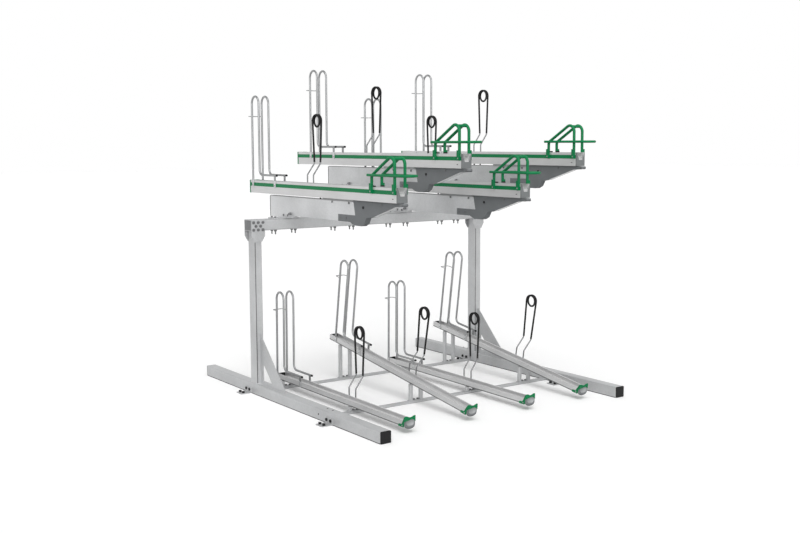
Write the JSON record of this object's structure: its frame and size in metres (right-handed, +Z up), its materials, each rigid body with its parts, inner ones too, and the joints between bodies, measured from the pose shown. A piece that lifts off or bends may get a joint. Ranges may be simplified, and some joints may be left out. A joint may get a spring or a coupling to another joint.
{
  "type": "two tier bike rack",
  "caption": "Two tier bike rack: a steel portal on floor beams with fixed lower wheel trays and upper trays that slide out and tilt down on arms.",
  "frame": {"origin": "on the floor under the posts' centre line, midway between the two posts; the rear cross rail's underside lies there", "axes": "+X across the rack, -Y towards the side where bikes go in, +Z up"},
  "size_m": [2.251, 2.47, 2.4189],
  "materials": {
    "galvanised_tube": "hot-dip galvanised, dull with a faint spangle",
    "galvanised_sheet": "pre-galvanised sheet, pale and smooth",
    "bright_zinc": "bright zinc plate on rods and fasteners",
    "mill_aluminium": "extruded aluminium, natural",
    "dark_grey_paint": "dark grey powder coat, satin",
    "green_paint": "green powder coat, semi-gloss",
    "grey_plastic": "moulded grey plastic",
    "black_plastic": "moulded black plastic, matt",
    "black_steel": "black coated steel",
    "black_rubber": "black soft sleeve"
  },
  "bodies": {
    "frame": {"floor_beams": "galvanised_tube", "beam_caps": "black_plastic", "anchor_brackets": "galvanised_tube", "anchor_bolts": "black_steel", "posts": "galvanised_tube", "braces": "galvanised_tube", "top_beam": "galvanised_tube", "head_plates": "galvanised_tube", "frame_bolts": "bright_zinc", "cross_rails": "galvanised_tube", "arm_bases": "galvanised_tube", "arm_boxes": "galvanised_sheet", "arm_cheeks": "dark_grey_paint", "arm_webs": "galvanised_sheet", "arm_pads": "black_plastic", "tilt_axles": "bright_zinc", "lower_trays": "mill_aluminium", "lower_legs": "galvanised_tube", "lower_collars": "green_paint", "lower_noses": "grey_plastic", "lower_holders": "galvanised_tube", "lower_lock_rods": "bright_zinc", "lower_sleeves": "black_rubber"},
    "cradle_1": {"cradle_1": "bright_zinc"},
    "rollers_1": {"rollers_1": "black_plastic"},
    "tray_1": {"tray_1": "mill_aluminium", "trim_1": "green_paint", "nose_1": "grey_plastic", "holder_1": "galvanised_tube", "lock_rod_1": "bright_zinc", "sleeves_1": "black_rubber", "handle_1": "green_paint"},
    "cradle_2": {"cradle_2": "bright_zinc"},
    "rollers_2": {"rollers_2": "black_plastic"},
    "tray_2": {"tray_2": "mill_aluminium", "trim_2": "green_paint", "nose_2": "grey_plastic", "holder_2": "galvanised_tube", "lock_rod_2": "bright_zinc", "sleeves_2": "black_rubber", "handle_2": "green_paint"},
    "cradle_3": {"cradle_3": "bright_zinc"},
    "rollers_3": {"rollers_3": "black_plastic"},
    "tray_3": {"tray_3": "mill_aluminium", "trim_3": "green_paint", "nose_3": "grey_plastic", "holder_3": "galvanised_tube", "lock_rod_3": "bright_zinc", "sleeves_3": "black_rubber", "handle_3": "green_paint"},
    "cradle_4": {"cradle_4": "bright_zinc"},
    "rollers_4": {"rollers_4": "black_plastic"},
    "tray_4": {"tray_4": "mill_aluminium", "trim_4": "green_paint", "nose_4": "grey_plastic", "holder_4": "galvanised_tube", "lock_rod_4": "bright_zinc", "sleeves_4": "black_rubber", "handle_4": "green_paint"}
  },
  "joints": [
    {"name": "tilt_1", "type": "hinge", "parent": "frame", "child": "cradle_1", "pos_m": [-0.795, -1.552, 1.461], "axis": [1, 0, 0], "range_deg": [0, 45]},
    {"name": "slide_1", "type": "slide", "parent": "cradle_1", "child": "tray_1", "axis": [0, -1, 0], "range_m": [0, 1.65]},
    {"name": "roll_1", "type": "hinge", "parent": "cradle_1", "child": "rollers_1", "pos_m": [-0.795, -1.43, 1.5037], "axis": [1, 0, 0], "range_deg": [0, 3941]},
    {"name": "tilt_2", "type": "hinge", "parent": "frame", "child": "cradle_2", "pos_m": [-0.279, -1.552, 1.67], "axis": [1, 0, 0], "range_deg": [0, 45]},
    {"name": "slide_2", "type": "slide", "parent": "cradle_2", "child": "tray_2", "axis": [0, -1, 0], "range_m": [0, 1.8]},
    {"name": "roll_2", "type": "hinge", "parent": "cradle_2", "child": "rollers_2", "pos_m": [-0.279, -1.43, 1.7127], "axis": [1, 0, 0], "range_deg": [0, 4299]},
    {"name": "tilt_3", "type": "hinge", "parent": "frame", "child": "cradle_3", "pos_m": [0.237, -1.552, 1.461], "axis": [1, 0, 0], "range_deg": [0, 45]},
    {"name": "slide_3", "type": "slide", "parent": "cradle_3", "child": "tray_3", "axis": [0, -1, 0], "range_m": [0, 1.65]},
    {"name": "roll_3", "type": "hinge", "parent": "cradle_3", "child": "rollers_3", "pos_m": [0.237, -1.43, 1.5037], "axis": [1, 0, 0], "range_deg": [0, 3941]},
    {"name": "tilt_4", "type": "hinge", "parent": "frame", "child": "cradle_4", "pos_m": [0.753, -1.552, 1.67], "axis": [1, 0, 0], "range_deg": [0, 45]},
    {"name": "slide_4", "type": "slide", "parent": "cradle_4", "child": "tray_4", "axis": [0, -1, 0], "range_m": [0, 1.8]},
    {"name": "roll_4", "type": "hinge", "parent": "cradle_4", "child": "rollers_4", "pos_m": [0.753, -1.43, 1.7127], "axis": [1, 0, 0], "range_deg": [0, 4299]}
  ],
  "couplings": [
    {"joint": "roll_1", "follows": "slide_1", "rad_per_m": 41.667},
    {"joint": "roll_2", "follows": "slide_2", "rad_per_m": 41.667},
    {"joint": "roll_3", "follows": "slide_3", "rad_per_m": 41.667},
    {"joint": "roll_4", "follows": "slide_4", "rad_per_m": 41.667}
  ]
}
